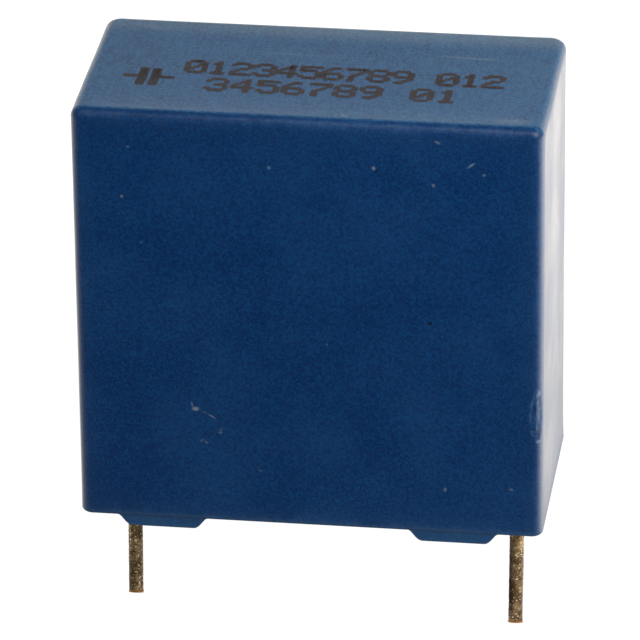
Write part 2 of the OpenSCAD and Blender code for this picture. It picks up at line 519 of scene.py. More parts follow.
def ink_material():
    """Thin dot-printed ink, brown-grey and uneven, with the blue showing through where it is thin."""
    material, shop = new_material("print_ink")
    place = millimetres(shop)
    blot = shop.noise(place, 7.0, 4.0, 0.7)
    speck = shop.noise(place, 24.0, 2.0, 0.6)
    cover = shop.math("ADD", shop.math("MULTIPLY", blot, 0.6), shop.math("MULTIPLY", speck, 0.4))
    base = shop.mix(shop.ramp(cover, 0.36, 0.52), INK_THIN, INK_FULL)
    rough = shop.ramp(speck, 0.3, 0.7, 0.33, 0.48)
    principled(shop, Base_Color=base, Roughness=rough, Normal=shop.bump(blot, 0.4, 0.002),
               Specular_IOR_Level=PLASTIC_SPECULAR)
    return material


def tinned_material():
    """Hot-dipped tin on copper wire: dull brown-gold, darker in its pits, with painted glints on the tops of
    its lumps, copper at the cut.
    """
    material, shop = new_material("tinned_wire")
    place = millimetres(shop)
    grain = shop.group(GRAIN, Place=place, Size=0.08, Cloud_Size=0.35).outputs
    base = shop.mix(shop.ramp(grain["Cloud"], 0.38, 0.62), TIN_TARNISHED, TIN_DULL)
    base = shop.mix(shop.ramp(grain["Height"], 0.30, 0.46, 0.7, 0.0), base, TIN_PIT)
    # Painted glints on the tops of the lumps
    base = shop.mix(shop.ramp(grain["Height"], 0.59, 0.65), base, TIN_PAINTED_GLINT)
    base = shop.mix(shop.math("MULTIPLY", shop.layer("edge"), 0.85), base, CUT_COPPER)
    rough = shop.ramp(grain["Height"], 0.35, 0.7, 0.48, 0.25)
    principled(shop, Base_Color=base, Metallic=0.8, Roughness=rough,
               Normal=shop.bump(grain["Height"], 0.9, 0.025))
    return material


def epoxy_material():
    """Cast epoxy: dull blue-grey, with a slow ripple and a few tiny bubbles."""
    material, shop = new_material("cast_epoxy")
    place = millimetres(shop)
    grain = shop.group(GRAIN, Place=place, Size=0.25, Cloud_Size=2.0).outputs
    bubbles = shop.group(SPECKS, Place=place, Spacing=0.8, Size=0.05, Share=0.4).outputs["Mask"]
    base = shop.mix(shop.ramp(grain["Cloud"], 0.35, 0.65), EPOXY_DARK, EPOXY_PALE)
    base = shop.mix(shop.math("MULTIPLY", bubbles, 0.5), base, EPOXY_BUBBLE)
    height = shop.math("SUBTRACT", grain["Cloud"], shop.math("MULTIPLY", bubbles, 0.6))
    rough = shop.ramp(grain["Height"], 0.3, 0.7, 0.28, 0.42)
    principled(shop, Base_Color=base, Roughness=rough, Normal=shop.bump(height, 0.6, 0.03))
    return material


def film_material():
    """Wound metallised film: silvery, with the fine steps of its turns."""
    material, shop = new_material("wound_film")
    place = millimetres(shop)
    grain = shop.group(GRAIN, Place=place, Size=0.2, Cloud_Size=3.0).outputs
    turns = shop.noise(shop.vector("MULTIPLY", place, TURNS_STRETCH), 1.0, 2.0)
    base = shop.mix(shop.ramp(turns, 0.35, 0.65), FILM_DARK, FILM_PALE)
    base = shop.mix(shop.ramp(grain["Cloud"], 0.4, 0.7, 0.0, 0.35), base, FILM_WARM)
    rough = shop.ramp(turns, 0.3, 0.7, 0.22, 0.38)
    principled(shop, Base_Color=base, Metallic=0.85, Roughness=rough, Normal=shop.bump(turns, 0.4, 0.01))
    return material


def sprayed_material():
    """Flame-sprayed zinc: matt, mottled and rough."""
    material, shop = new_material("sprayed_zinc")
    grain = shop.group(GRAIN, Place=millimetres(shop), Size=0.09, Cloud_Size=0.9).outputs
    base = shop.mix(shop.ramp(grain["Height"], 0.35, 0.65), ZINC_DARK, ZINC_PALE)
    rough = shop.ramp(grain["Cloud"], 0.3, 0.7, 0.55, 0.75)
    principled(shop, Base_Color=base, Metallic=0.7, Roughness=rough,
               Normal=shop.bump(grain["Height"], 1.0, 0.05))
    return material


# ---- The case


# The spacing of the points of the case's skin: along X and Y, up the walls, and at fine details
COLUMN_STEP = 0.24
ROW_STEP = 0.26
DETAIL_STEP = 0.05
# Columns and rows that lie closer than this to another are left out
CLOSEST_COLUMNS = 0.03
CLOSEST_ROWS = 0.04
# Steps round an upright corner, degrees from ring to ring over an upper edge, rings on the top face
ARC_STEPS = 12
ARC_DEGREES = 9.0
TOP_STEPS = 18
# How much closer the rings of the top face stand near its edge
TOP_CROWDING = 1.6

# How far a foot's sloping end is rounded at the rim and at the sole, as a share of the slope
ROUND_AT_RIM = 0.2
ROUND_AT_SOLE = 0.42

# Rows of a foot: shares of the way down its outer side, insets across its sole, and how far below
# the rim the last one runs on its inner side
FOOT_SIDE_SHARES = (0.0, 0.05, 0.35, 0.7, 1.0)
FOOT_SOLE_INSETS = (0.22, 0.42)
FOOT_INNER_DROP = 0.12
# Rings this far above the rim keep its inner edge crisp
CAVITY_RISES = (0.05, 0.6)

# Moulded walls draw in a little as they cool, most of it close to the edges
SINK = 0.075
SINK_REACH = 0.8
WAVE = 0.006
WAVE_LENGTH = 3.2
WAVE_SHIFT = Vector((7.3, 2.1, 5.9))
# How far an end wall is drawn in at its front edge, and its slope inward from front to back
END_DRAWN_IN = 0.012
END_SLOPES = [(-4.0, -0.003), (-1.6, -0.003), (-0.4, 0.020), (1.7, 0.020), (2.5, -0.016), (4.0, -0.012)]

# How far wear reaches from an edge, and how much of it the rim and the inside get
WEAR_REACH = 0.3
INNER_WEAR = 0.4

# The long shallow scrape along the upright edge between the front and the right end
NICK_AT = Vector((HALF_L - 0.20, -HALF_T + 0.03, 5.60))
NICK_LENGTH = 1.10
NICK_REACH = 0.30
NICK_DEPTH = 0.045
NICK_RAGGED = 0.16
# How often its outline wanders and breaks up, and its floor and its whitening vary, per millimetre
NICK_WANDER = 2.6
NICK_BREAK = 4.5
NICK_CHATTER = 5.0
# The wall's rows stand this close together along it and a little past both its ends
NICK_STEP = 0.06
NICK_PAST = 0.2
# How strongly the plastic is whitened along the scrape's outline, where, and over what width
WHITENED = 0.28
WHITENED_AT = 0.04
WHITENED_WIDTH = 0.09


def smooth(value, low, high):
    """0 below low, 1 above high, and a smooth rise between."""
    t = min(max((value - low) / (high - low), 0.0), 1.0)
    return t * t * (3 - 2 * t)


def foot_ramp(t):
    """0 to 1 along a foot's sloping end, straight but rounded where it starts and ends."""
    if t <= -ROUND_AT_RIM:
        return 0.0
    if t < ROUND_AT_RIM:
        return (t + ROUND_AT_RIM) ** 2 / (4 * ROUND_AT_RIM)
    if t <= 1 - ROUND_AT_SOLE:
        return t
    if t < 1 + ROUND_AT_SOLE:
        return 1 - (1 + ROUND_AT_SOLE - t) ** 2 / (4 * ROUND_AT_SOLE)
    return 1.0


FRONT_FEET = [-HALF_L + FOOT_LEFT_INSET, HALF_L - FOOT_RIGHT_INSET - FOOT_L]
BACK_FEET = [-x - FOOT_L for x in FRONT_FEET]
FEET = {"front": FRONT_FEET, "back": BACK_FEET}


def foot_share(x, starts):
    """How fully a foot stands under the wall at x: 0 beside the feet, 1 under their flat soles."""
    return max(min(foot_ramp((x - start) / FOOT_SLOPE), foot_ramp((start + FOOT_L - x) / FOOT_SLOPE))
               for start in starts)


def column_lines():
    """Where the columns of the case's skin stand along X and Y, closer at the ends of the feet."""
    slopes = []
    for start in FRONT_FEET + BACK_FEET:
        stop = start + FOOT_L
        slopes += spread(start - 2 * DETAIL_STEP, start + FOOT_SLOPE + 3 * DETAIL_STEP, DETAIL_STEP)
        slopes += spread(stop - FOOT_SLOPE - 3 * DETAIL_STEP, stop + 2 * DETAIL_STEP, DETAIL_STEP)
    ends = spread(FLAT_X - 7 * DETAIL_STEP, FLAT_X, DETAIL_STEP)
    along = merged(spread(-FLAT_X, FLAT_X, COLUMN_STEP), slopes, ends, [-x for x in ends],
                   closest=CLOSEST_COLUMNS)
    along[0], along[-1] = -FLAT_X, FLAT_X
    across = merged(spread(-FLAT_Y, FLAT_Y, COLUMN_STEP), [-FLAT_Y + DETAIL_STEP, FLAT_Y - DETAIL_STEP],
                    closest=CLOSEST_COLUMNS)
    across[0], across[-1] = -FLAT_Y, FLAT_Y
    return along, across


LINES_X, LINES_Y = column_lines()
# The columns that the feet need stay in place up to here when a flat shortens
KEEP_X = max(abs(x) for x in FRONT_FEET + [x + FOOT_L for x in FRONT_FEET]) + 2 * DETAIL_STEP


def slide(value, outer, inner, keep):
    """Moves a column past keep so that the flat shortens from outer to inner; the rest stays."""
    if abs(value) <= keep:
        return value
    moved = keep + (abs(value) - keep) * (inner - keep) / (outer - keep)
    return math.copysign(moved, value)


def columns():
    """Every column round the case in order: (kind, place) with its side or corner."""
    def arc(side_x, side_y, start):
        turns = [start + 90 * i / ARC_STEPS for i in range(1, ARC_STEPS)]
        return [("arc", (side_x, side_y, turn)) for turn in turns]

    order = [("front", x) for x in LINES_X] + arc(1, -1, -90)
    order += [("right", y) for y in LINES_Y] + arc(1, 1, 0)
    order += [("back", x) for x in reversed(LINES_X)] + arc(-1, 1, 90)
    order += [("left", y) for y in reversed(LINES_Y)] + arc(-1, -1, 180)
    return order


COLUMNS = columns()


def outline(inset, radius, softer):
    """The case's plan at an inset from its face: for each column its x, y and outward normal."""
    flat_x, flat_y = HALF_L - inset - radius, HALF_T - inset - radius
    spots = []
    for kind, place in COLUMNS:
        if kind == "front":
            spots.append((slide(place, FLAT_X, flat_x, KEEP_X), inset - HALF_T, 0.0, -1.0))
        elif kind == "back":
            spots.append((slide(place, FLAT_X, flat_x - softer, KEEP_X), HALF_T - inset, 0.0, 1.0))
        elif kind in ("right", "left"):
            side = 1 if kind == "right" else -1
            towards_back = (place / FLAT_Y + 1) / 2
            y = place * flat_y / FLAT_Y - softer * towards_back
            spots.append((side * (HALF_L - inset), y, float(side), 0.0))
        else:
            side_x, side_y, degrees = place
            more = softer if side_y > 0 else 0.0
            c, s = math.cos(math.radians(degrees)), math.sin(math.radians(degrees))
            x = side_x * (flat_x - more) + (radius + more) * c
            y = side_y * (flat_y - more) + (radius + more) * s
            spots.append((x, y, c, s))
    return spots


def soft_step(distance):
    """0 at an edge, rising towards 1 away from it."""
    return 1 - math.exp(-max(distance, 0.0) / SINK_REACH)


def inside_nick(point):
    """1 in the middle of the scrape, 0 along its ragged outline and less outside."""
    up = (point.z - NICK_AT.z) / NICK_LENGTH
    if abs(up) >= 1.3:
        return -1.0
    wander = noise.noise(Vector((3.0, 5.0, point.z * NICK_WANDER)))
    ragged = wander + 0.6 * noise.noise(point * NICK_BREAK)
    aside = math.hypot(point.x - NICK_AT.x, point.y - NICK_AT.y) / NICK_REACH
    return 1 - math.hypot(up, aside) + NICK_RAGGED * ragged


def nick_depth(point):
    """How deep the scrape cuts at a point of the skin: steep at its outline, uneven inside."""
    inside = inside_nick(point)
    if inside <= 0:
        return 0.0
    chatter = 0.75 + 0.5 * noise.noise(point * NICK_CHATTER)
    return NICK_DEPTH * min(1.0, inside * 3.0) * chatter


def nick_outline(point):
    """1 where the plastic is whitened, here and there along the scrape's outline."""
    broken = smooth(noise.noise(Vector((1.0, 2.0, point.z * NICK_CHATTER))), -0.3, 0.3)
    return WHITENED * broken * math.exp(-((inside_nick(point) - WHITENED_AT) / WHITENED_WIDTH) ** 2)


def end_depth(y):
    """How far an end wall is drawn in at a place between front and back."""
    depth = END_DRAWN_IN
    for (start, first), (stop, last) in zip(END_SLOPES, END_SLOPES[1:]):
        gone = min(max(y, start), stop) - start
        reached = first + (last - first) * gone / (stop - start)
        depth += gone * (first + reached) / 2
    return depth


def sunk(point, normal, flatness):
    """A skin point moved inward by the wall's sink, its slow waves and the scrape."""
    wave = 0.5 + 0.5 * noise.noise(point / WAVE_LENGTH + WAVE_SHIFT)
    endwise = abs(normal.x)
    up = soft_step(TOP_Z - point.z) * soft_step(point.z - RIM_Z)
    depth = SINK * flatness * (1 - endwise) + end_depth(point.y) * endwise * up
    return point - normal * (depth + WAVE * wave + nick_depth(point))


def wall_levels():
    """Heights of the wall's rows from the top down, closer along the scrape."""
    low, high = RIM_Z + RIM_R, TOP_Z - EDGE_R
    reach = NICK_LENGTH + NICK_PAST
    nick = spread(NICK_AT.z - reach, NICK_AT.z + reach, NICK_STEP)
    near_edges = [low + DETAIL_STEP, high - DETAIL_STEP]
    return merged(spread(low, high, ROW_STEP), nick, near_edges, closest=CLOSEST_ROWS)[::-1]


def along_from_corner(column, upright):
    """Distance of a column from the middle of the nearest upright edge; upright is 0 on the top face."""
    kind, place = column
    if kind in ("front", "back"):
        return HALF_ARC + FLAT_X - abs(place)
    if kind in ("left", "right"):
        return HALF_ARC + FLAT_Y - abs(place)
    turn = abs(place[2] % 90 - 45) / 45
    return HALF_ARC * (1 - (1 - turn) * upright)


def outer_rings():
    """Rings from the edge of the top down to the rim's outer edge, where the feet begin."""
    rings, edges = [], []
    low, high = RIM_Z + RIM_R, TOP_Z - EDGE_R
    for degrees in spread(0.0, 90.0, ARC_DEGREES):
        a = math.radians(degrees)
        inset, z = EDGE_R * (1 - math.sin(a)), TOP_Z - EDGE_R * (1 - math.cos(a))
        ring, edge = [], []
        from_middle = abs(degrees - 45) / 45 * HALF_ARC
        up = soft_step(from_middle)
        for column, (x, y, nx, ny) in zip(COLUMNS, outline(inset, EDGE_R - inset, BACK_SOFTER)):
            normal = Vector((nx * math.sin(a), ny * math.sin(a), math.cos(a)))
            flatness = up * soft_step(along_from_corner(column, math.sin(a)))
            ring.append(sunk(Vector((x, y, z)), normal, flatness))
            edge.append(math.exp(-from_middle / WEAR_REACH))
        rings.append(ring)
        edges.append(edge)
    for z in wall_levels()[1:]:
        ring, edge = [], []
        for column, (x, y, nx, ny) in zip(COLUMNS, outline(0.0, EDGE_R, BACK_SOFTER)):
            around = along_from_corner(column, 1.0)
            flatness = soft_step(around) * soft_step(HALF_ARC + high - z) * soft_step(z - low)
            ring.append(sunk(Vector((x, y, z)), Vector((nx, ny, 0.0)), flatness))
            edge.append(math.exp(-min(around, HALF_ARC + high - z, z - low + 0.1) / WEAR_REACH))
        rings.append(ring)
        edges.append(edge)
    return rings, edges


def rim_level(inset):
    """The height of the rim's rounded outer edge at an inset from the face."""
    if inset >= RIM_R:
        return RIM_Z
    across = 1 - inset / RIM_R
    return RIM_Z + RIM_R * (1 - math.sqrt(1 - across * across))


def rim_rows():
    """Rows from the rim's outer edge over the feet to the rim's inner side.

    Each is an inset, the plain height there and the height of a foot there.
    """
    sole = CASE_LOW.z
    inner = FOOT_SETBACK + FOOT_T
    start = rim_level(FOOT_SETBACK)
    rows = []
    for degrees in (15, 30, 45):
        inset = RIM_R * (1 - math.cos(math.radians(degrees)))
        rows.append((inset, rim_level(inset), rim_level(inset)))
    for share in FOOT_SIDE_SHARES:
        rows.append((FOOT_SETBACK, start, start + (sole + FOOT_EDGE_R - start) * share))
    for degrees in (22.5, 45, 67.5, 90):
        a = math.radians(degrees)
        inset = FOOT_SETBACK + FOOT_EDGE_R * (1 - math.cos(a))
        rows.append((inset, rim_level(inset), sole + FOOT_EDGE_R * (1 - math.sin(a))))
    for inset in (*FOOT_SOLE_INSETS, inner - FOOT_EDGE_R):
        rows.append((inset, rim_level(inset), sole))
    for degrees in (30, 60, 90):
        a = math.radians(degrees)
        inset = inner - FOOT_EDGE_R * (1 - math.sin(a))
        rows.append((inset, RIM_Z, sole + FOOT_EDGE_R * (1 - math.cos(a))))
    return rows + [(inner, RIM_Z, RIM_Z - FOOT_INNER_DROP), (inner, RIM_Z, RIM_Z)]


def rim_rings():
    """Rings round the rim and down over the feet."""
    rings = []
    for inset, plain, foot in rim_rows():
        inward = min(max((inset - RIM_R) / (WALL - RIM_R), 0.0), 1.0)
        # The corners change from the outer edge's radius to the cavity's
        radius = EDGE_R - min(inset, RIM_R) + (CAVITY_R - EDGE_R + RIM_R) * inward
        ring = []
        for (kind, place), (x, y, _, _) in zip(COLUMNS, outline(inset, radius, BACK_SOFTER * (1 - inward))):
            share = foot_share(place, FEET[kind]) if kind in FEET else 0.0
            ring.append(Vector((x, y, plain + (foot - plain) * share)))
        rings.append(ring)
    return rings


def cavity_rings():
    """Rings up the inside of the box, from the rim's inner edge to the roof."""
    inside = outline(WALL, CAVITY_R, 0.0)
    levels = [RIM_Z + rise for rise in CAVITY_RISES] + [TOP_Z - ROOF]
    return [[Vector((x, y, z)) for x, y, _, _ in inside] for z in levels]


def top_point(x, y):
    """The top face's skin at x and y."""
    flatness = soft_step(HALF_ARC + FLAT_X - abs(x)) * soft_step(HALF_ARC + FLAT_Y - abs(y))
    return sunk(Vector((x, y, TOP_Z)), Vector((0, 0, 1)), flatness)


def top_rings(rim):
    """Rings over the top face, from the line along its middle out to its edge, with their wear."""
    rings, edges = [], []
    for step in range(TOP_STEPS, 0, -1):
        share = (step / TOP_STEPS) ** TOP_CROWDING
        ring, edge = [], []
        for point in rim:
            middle_x = math.copysign(min(abs(point.x), HALF_L - HALF_T), point.x)
            spot = top_point(point.x + (middle_x - point.x) * share, point.y * (1 - share))
            ring.append(spot)
            to_edge = HALF_ARC + min(FLAT_X - abs(spot.x), FLAT_Y - abs(spot.y))
            edge.append(math.exp(-to_edge / WEAR_REACH))
        rings.append(ring)
        edges.append(edge)
    return rings, edges


def case_piece(material):
    """The moulded box and its feet: one closed skin, outside and inside."""
    outer, edges = outer_rings()
    top, top_edges = top_rings(outer[0])
    points, faces = loft(top + outer + rim_rings() + cavity_rings())
    edge = [value for ring in top_edges + edges for value in ring]
    edge += [INNER_WEAR] * (len(points) - len(edge))
    roof = tuple(range(len(points) - len(COLUMNS), len(points)))
    faces.append(roof)
    scrape = [nick_outline(point) for point in points]
    return mesh_object("moulded_case", points, faces, material, edge=edge, scrape=scrape)


# ---- The printed marks

# A plain five by seven dot figure for each digit, its rows from top to bottom
DIGITS = {
    "0": "01110 10001 10011 10101 11001 10001 01110",
    "1": "00100 01100 00100 00100 00100 00100 01110",
    "2": "01110 10001 00001 00110 01000 10000 11111",
    "3": "01110 10001 00001 00110 00001 10001 01110",
    "4": "00010 00110 01010 10010 11111 00010 00010",
    "5": "11111 10000 11110 00001 00001 10001 01110",
    "6": "00110 01000 10000 11110 10001 10001 01110",
    "7": "11111 00001 00010 00100 01000 01000 01000",
    "8": "01110 10001 10001 01110 10001 10001 01110",
    "9": "01110 10001 10001 01111 00001 00010 01100",
}
DOT_ROWS = 7
DOT_PITCH = 0.165
DOT_R = 0.143
DOT_SIDES = 10
# How far a dot strays, and how its size varies
DOT_STRAY = 0.012
DOT_SHARES = (0.85, 1.1)
# Each line's digits, left end, middle and pitch
PRINT_LINES = [("0123456789 012", -5.10, -0.02, 0.87), ("3456789 01", -4.06, -1.54, 0.97)]
PRINT_SEED = 5
PRINT_TILT = Matrix.Rotation(math.radians(-0.9), 2)
INK_LIFT = 0.004

# The plain circuit sign of a capacitor: its left end and middle, its plates and their wires
SIGN_AT = (-7.26, -1.12)
PLATE_LINES = (0.56, 0.68, 1.04, 1.16)
PLATE_PITCH = 0.135
PLATE_REACH = 5
WIRE_STARTS = (0.0, 1.24)
WIRE_PITCH = 0.12
WIRE_DOTS = 5


def line_of_dots(text, left, middle, pitch):
    """Dot centres of a line of digits that starts at left and has its middle at that Y."""
    spots = []
    for index, digit in enumerate(text):
        for row, dots in enumerate(DIGITS.get(digit, "").split()):
            y = middle + (DOT_ROWS // 2 - row) * DOT_PITCH
            for column, dot in enumerate(dots):
                if dot == "1":
                    spots.append((left + index * pitch + column * DOT_PITCH, y))
    return spots


def two_plate_sign(left, middle):
    """Dot centres of two plates and a wire to each."""
    rows = range(-PLATE_REACH, PLATE_REACH + 1)
    spots = [(left + plate, middle + row * PLATE_PITCH) for row in rows for plate in PLATE_LINES]
    for step in range(WIRE_DOTS):
        spots += [(left + start + step * WIRE_PITCH, middle) for start in WIRE_STARTS]
    return spots


def print_piece(material):
    """Counting digits and a circuit sign, dotted in ink on the top of the case."""
    dice = random.Random(PRINT_SEED)
    spots = [spot for line in PRINT_LINES for spot in line_of_dots(*line)] + two_plate_sign(*SIGN_AT)
    points, faces = [], []
    for spot in spots:
        x, y = PRINT_TILT @ Vector(spot)
        x += dice.uniform(-DOT_STRAY, DOT_STRAY)
        y += dice.uniform(-DOT_STRAY, DOT_STRAY)
        radius = DOT_R * dice.uniform(*DOT_SHARES)
        faces.append(tuple(range(len(points), len(points) + DOT_SIDES)))
        for i in range(DOT_SIDES):
            a = 2 * math.pi * i / DOT_SIDES
            point = Vector((x + radius * math.cos(a), y + radius * math.sin(a), 0.0))
            point.z = top_point(point.x, point.y).z + INK_LIFT
            points.append(point)
    return mesh_object("printed_marks", points, faces, material, smooth=False)


# ---- The epoxy seal

LEAD_X = 7.5
LEAD_R = 0.3

RESIN_LOW, RESIN_HIGH = node_box("potting_resin")
# The seal's skin lies this far inside the walls, with this spacing of points, closer at details
SEAL_CLEAR = 0.005
SEAL_STEP = 0.3
SEAL_DETAIL_STEP = 0.07
# How far before and beside a lead, and how far from a wall, the closer points reach
CLOSER_BEFORE_LEAD = 0.55
CLOSER_BESIDE_LEAD = 0.6
CLOSER_AT_WALL = 0.49
SEAL_CORNER_R = 0.35
# How high the epoxy climbs at the walls and leads, how near to them, and its slow ripple
MENISCUS = 0.16
CLIMB_AT_WALL = 0.3
CLIMB_AT_LEAD = 0.2
RIPPLE = 0.03
RIPPLE_LENGTH = 2.3


def seal_level(x, y):
    """The height of the epoxy's open face: it climbs towards the rim at the walls and at each lead."""
    at_wall = min(RESIN_HIGH.x - abs(x), RESIN_HIGH.y - abs(y))
    at_lead = math.hypot(abs(x) - LEAD_X, y) - LEAD_R
    rise = math.exp(-max(at_wall, 0) / CLIMB_AT_WALL) + math.exp(-max(at_lead, 0) / CLIMB_AT_LEAD)
    ripple = 0.5 + 0.5 * noise.noise(Vector((x, y, 0.0)) / RIPPLE_LENGTH)
    return RESIN_LOW.z + RIPPLE * ripple + MENISCUS * (1 - min(rise, 1.0))


def in_round_corner(x, y, reach_x, reach_y):
    """Draws a point near a square corner in, so that the corner becomes round."""
    over_x, over_y = abs(x) - reach_x + SEAL_CORNER_R, abs(y) - reach_y + SEAL_CORNER_R
    if over_x <= 0 or over_y <= 0:
        return x, y
    pull = 1 - max(over_x, over_y) / math.hypot(over_x, over_y)
    return math.copysign(abs(x) - over_x * pull, x), math.copysign(abs(y) - over_y * pull, y)


def seal_lines(reach, *details):
    """Where the seal's points stand from -reach to reach, with closer ones at its details."""
    lines = merged(spread(-reach, reach, SEAL_STEP), *details, closest=CLOSEST_COLUMNS)
    lines[0], lines[-1] = -reach, reach
    return lines


def epoxy_piece(material):
    """The cast block: its open face below, and its hidden sides and top."""
    reach_x, reach_y = RESIN_HIGH.x - SEAL_CLEAR, RESIN_HIGH.y - SEAL_CLEAR
    at_lead_x = spread(LEAD_X - CLOSER_BEFORE_LEAD, reach_x - 0.02, SEAL_DETAIL_STEP)
    at_lead_y = spread(-CLOSER_BESIDE_LEAD, CLOSER_BESIDE_LEAD, SEAL_DETAIL_STEP)
    at_wall = spread(reach_y - CLOSER_AT_WALL, reach_y, SEAL_DETAIL_STEP)
    lines_x = seal_lines(reach_x, at_lead_x, [-x for x in at_lead_x])
    lines_y = seal_lines(reach_y, at_lead_y, at_wall, [-y for y in at_wall])
    wide, deep = len(lines_x), len(lines_y)
    points, faces = [], []
    for level in range(2):
        for line_y in lines_y:
            for line_x in lines_x:
                x, y = in_round_corner(line_x, line_y, reach_x, reach_y)
                points.append(Vector((x, y, RESIN_HIGH.z if level else seal_level(line_x, line_y))))
    count = wide * deep
    for level in range(2):
        for j in range(deep - 1):
            for i in range(wide - 1):
                a = level * count + j * wide + i
                faces.append((a, a + 1, a + wide + 1, a + wide))
    border = list(range(wide)) + [j * wide + wide - 1 for j in range(1, deep)]
    border += [(deep - 1) * wide + i for i in range(wide - 2, -1, -1)]
    border += [j * wide for j in range(deep - 2, 0, -1)]
    for a, b in zip(border, border[1:] + border[:1]):
        faces.append((a, b, b + count, a + count))
    return mesh_object("epoxy_seal", points, faces, material)


# ---- The leads


LEAD_RISE = 0.1
LEAD_TAPER = 0.6
LEAD_FLAT_T = 0.36
LEAD_SIDES = 56
# How far the wire leans to the left for each millimetre that it reaches down from the rim
LEAD_LEAN = 0.01296
# The cutter left the tip slightly wedge-shaped, with a burr and bare copper at the cut
SNIP_SLOPE = 0.40
SNIP_H = 0.6
BURR_H = 0.05
COPPER_H = 0.055
# How squarely the wire's round and its flattened section are drawn; 2 is a true round
ROUND_POWER = 2.0
FLAT_POWER = 7.0
# The tin's skin: its least depth inside the wire's full size, and the depth of its lumps, fine lumps
# and pimples with how often they come round the wire and along it
SKIN_LEAST = 0.006
SKIN_LUMPS = (0.016, 0.9, 1.6)
SKIN_FINE_LUMPS = (0.012, 2.6, 7.0)
SKIN_PIMPLES = (0.02, 3.4, 11.0)
PIMPLE_ABOVE = 0.2
SKIN_CLEAR = 0.001
SKIN_SHIFT = Vector((3.1, 1.7, 4.3))
# Rings of a lead: their heights above its tip, where the even ones begin, and their spacing along
# the shank, the taper and the hidden flat end
TIP_RISES = (0.0, 0.012, 0.03, 0.06)
SHANK_FROM = 0.09
SHANK_STEP = 0.04
TAPER_STEP = 0.09
FLAT_STEP = 0.8


def lead_section(z, flat_x, flat_y):
    """Half width along X, half width along Y, centre X and squareness of a lead at a height."""
    share = min(max((z - RIM_Z - LEAD_RISE) / LEAD_TAPER, 0.0), 1.0)
    half_x = LEAD_R + (flat_x - LEAD_R) * share
    half_y = LEAD_R + (flat_y - LEAD_R) * share
    return half_x, half_y, LEAD_X - LEAD_R + half_x, ROUND_POWER + (FLAT_POWER - ROUND_POWER) * share


def lead_skin(c, s, z, tip, shift):
    """How far the tinned skin lies inside the wire's full size: lumpy, and flared at the cut tip."""
    skin = SKIN_LEAST
    for depth, around, along in (SKIN_LUMPS, SKIN_FINE_LUMPS):
        skin += depth * (0.5 + 0.5 * noise.noise(Vector((c * around, s * around, z * along)) + shift))
    depth, around, along = SKIN_PIMPLES
    pimple = noise.noise(Vector((c * around, s * around, z * along)) - shift) - PIMPLE_ABOVE
    skin -= depth * max(0.0, pimple)
    burr = math.exp(-(z - tip) / BURR_H)
    return max(skin * (1 - burr), 0.0) + SKIN_CLEAR


def lead_levels(tip, top):
    """Heights of a lead's rings, closest at the tip and widest along the hidden flat end."""
    taper, flat = RIM_Z + LEAD_RISE, RIM_Z + LEAD_RISE + LEAD_TAPER
    levels = [tip + rise for rise in TIP_RISES] + spread(tip + SHANK_FROM, taper, SHANK_STEP)
    return levels + spread(taper + 0.06, flat, TAPER_STEP) + spread(flat + 0.3, top, FLAT_STEP)


def lead_piece(name, node, side, material, seed):
    """A tinned wire: a slightly uneven round shank, cut at its tip, flat where it meets the winding."""
    low, high = node_box(node)
    tip = low.z
    shift = SKIN_SHIFT * seed
    turns = [2 * math.pi * i / LEAD_SIDES for i in range(LEAD_SIDES)]
    rings, cut = [], []
    for z in lead_levels(tip, high.z):
        half_x, half_y, centre, power = lead_section(z, LEAD_FLAT_T / 2, high.y)
        lean = LEAD_LEAN * min(z - RIM_Z, 0.0)
        ring = []
        for turn in turns:
            c, s = math.cos(turn), math.sin(turn)
            bulge = (abs(c) ** power + abs(s) ** power) ** (-1 / power)
            skin = lead_skin(c, s, z, tip, shift)
            x, y = side * (centre + (half_x - skin) * bulge * c), (half_y - skin) * bulge * s
            snip = SNIP_SLOPE * abs(y) * max(0.0, 1 - (z - tip) / SNIP_H)
            ring.append(Vector((x + lean, y, z + snip)))
        rings.append(ring)
        cut += [math.exp(-(z - tip) / COPPER_H)] * LEAD_SIDES
    points, faces = loft(rings)
    ends = [tuple(range(LEAD_SIDES)), tuple(range(len(points) - LEAD_SIDES, len(points)))]
    piece = mesh_object(name, points, faces + ends, material, edge=cut)
    for polygon in piece.data.polygons:
        polygon.use_smooth = len(polygon.vertices) <= 4
    return piece


# ---- Floor, light and camera

# Where the camera stands, as seen from the part, and what it looks at
CAMERA_TURN = math.radians(7.958)
CAMERA_RISE = math.radians(26.282)
CAMERA_ROLL = math.radians(-0.638)
CAMERA_AWAY = 244.66
CAMERA_AIM = Vector((-0.157, 0.0, 7.045))
CAMERA_LENS = 358.75
CAMERA_SENSOR = 36.0
# The nearest and the farthest that the camera sees, in metres
CAMERA_CLIP = (0.005, 20.0)


def place_camera():
    """A long lens from the front, a little to the right and above."""
    data = bpy.data.cameras.new("camera")
    data.sensor_width = CAMERA_SENSOR
    data.lens = CAMERA_LENS
    data.clip_start, data.clip_end = CAMERA_CLIP
    camera = bpy.data.objects.new("camera", data)
    bpy.context.scene.collection.objects.link(camera)
    reach = math.cos(CAMERA_RISE)
    away = Vector((math.sin(CAMERA_TURN) * reach, -math.cos(CAMERA_TURN) * reach, math.sin(CAMERA_RISE)))
    level = away.to_track_quat("Z", "Y").to_matrix().to_4x4()
    matrix = level @ Matrix.Rotation(CAMERA_ROLL, 4, "Z")
    matrix.translation = (CAMERA_AIM + away * CAMERA_AWAY) * MM
    camera.matrix_world = matrix
    bpy.context.scene.camera = camera


WHITE = colour(1, 1, 1)
WORLD_LEVEL = 0.43
FLOOR_ALBEDO = 0.60
FLOOR_MOTTLE = 0.01
FLOOR_R = 4000.0
FLOOR_SIDES = 96
FLOOR_SEEN = 1.17
